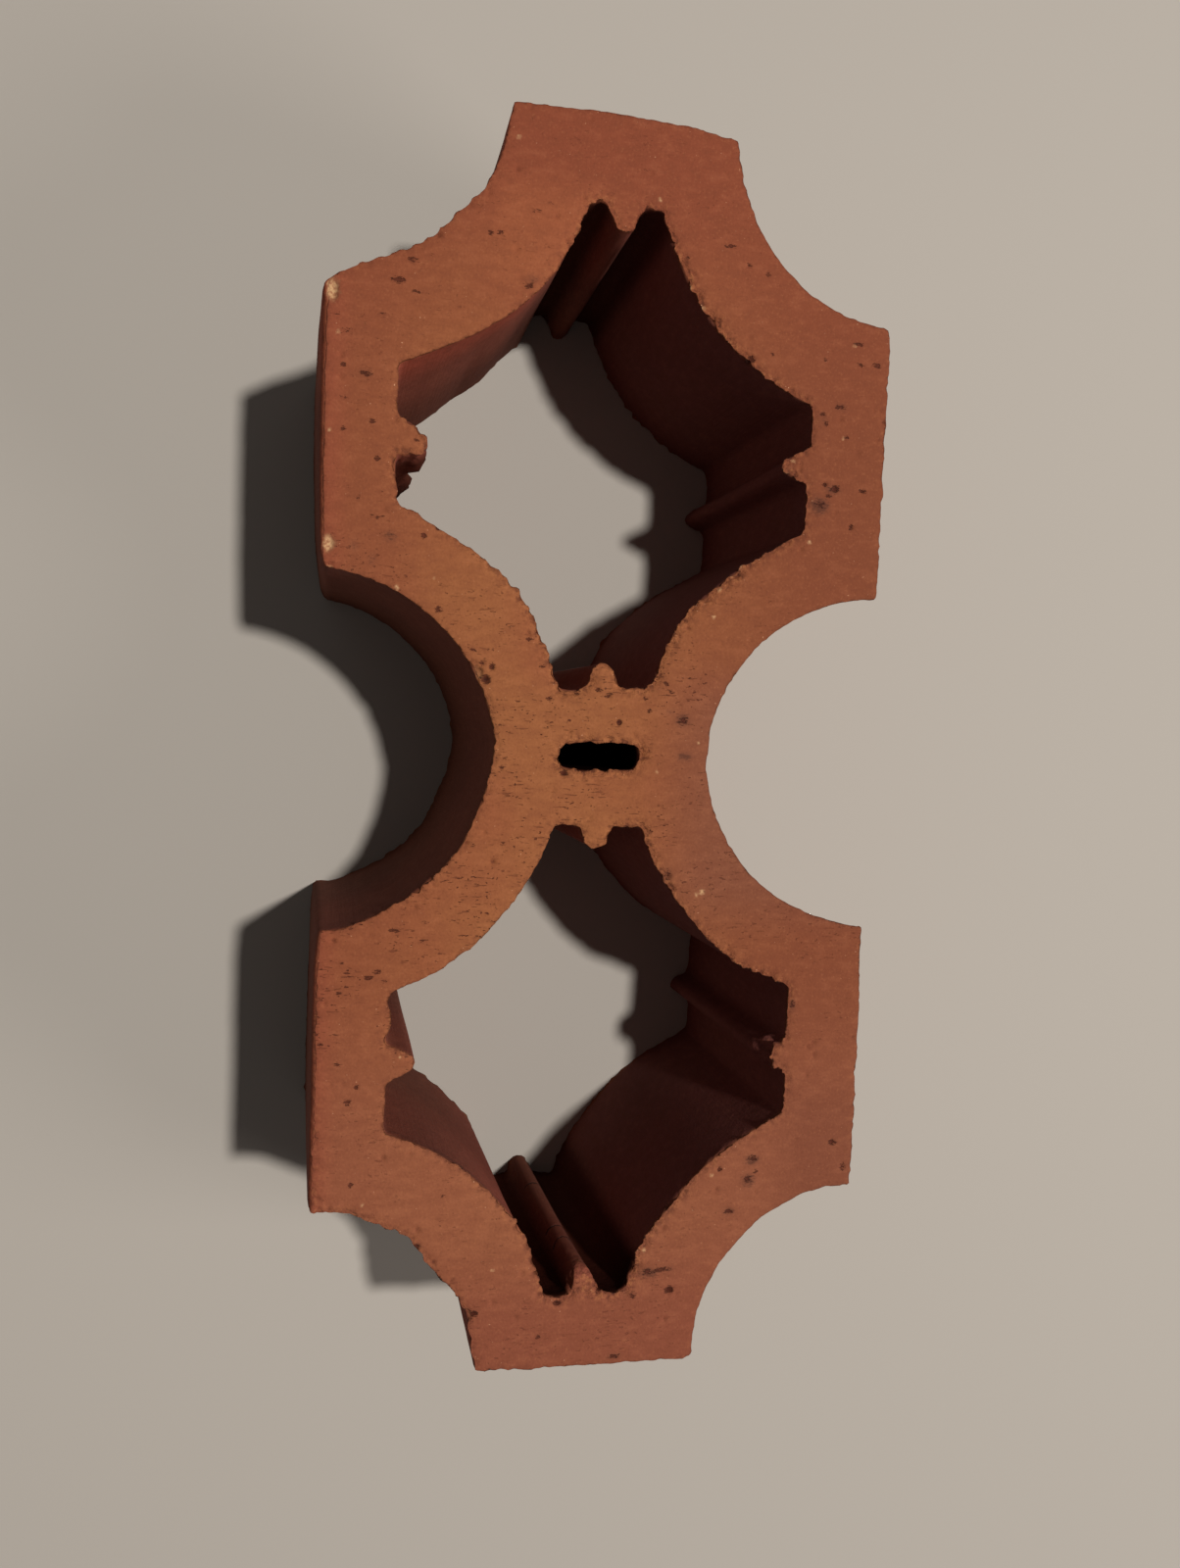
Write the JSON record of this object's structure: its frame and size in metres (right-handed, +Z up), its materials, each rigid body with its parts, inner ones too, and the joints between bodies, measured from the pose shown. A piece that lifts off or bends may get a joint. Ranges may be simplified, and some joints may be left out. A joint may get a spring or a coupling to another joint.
{
  "type": "terracotta breeze block",
  "caption": "Extruded fired-clay screen block with open star-shaped cells, round notches in its sides and corners, and a slotted web between the cells.",
  "frame": {"origin": "centre of the lower wire-cut face, which the block rests on", "axes": "+Z up along the cells, from the lower wire-cut face to the upper one; +Y along the block's length, from one cell to the other; +X across its width"},
  "size_m": [0.11, 0.244, 0.07],
  "materials": {
    "terracotta": "matt, unglazed, wire-cut and fired"
  },
  "bodies": {
    "root": {"breeze_block": "terracotta"}
  },
  "joints": []
}
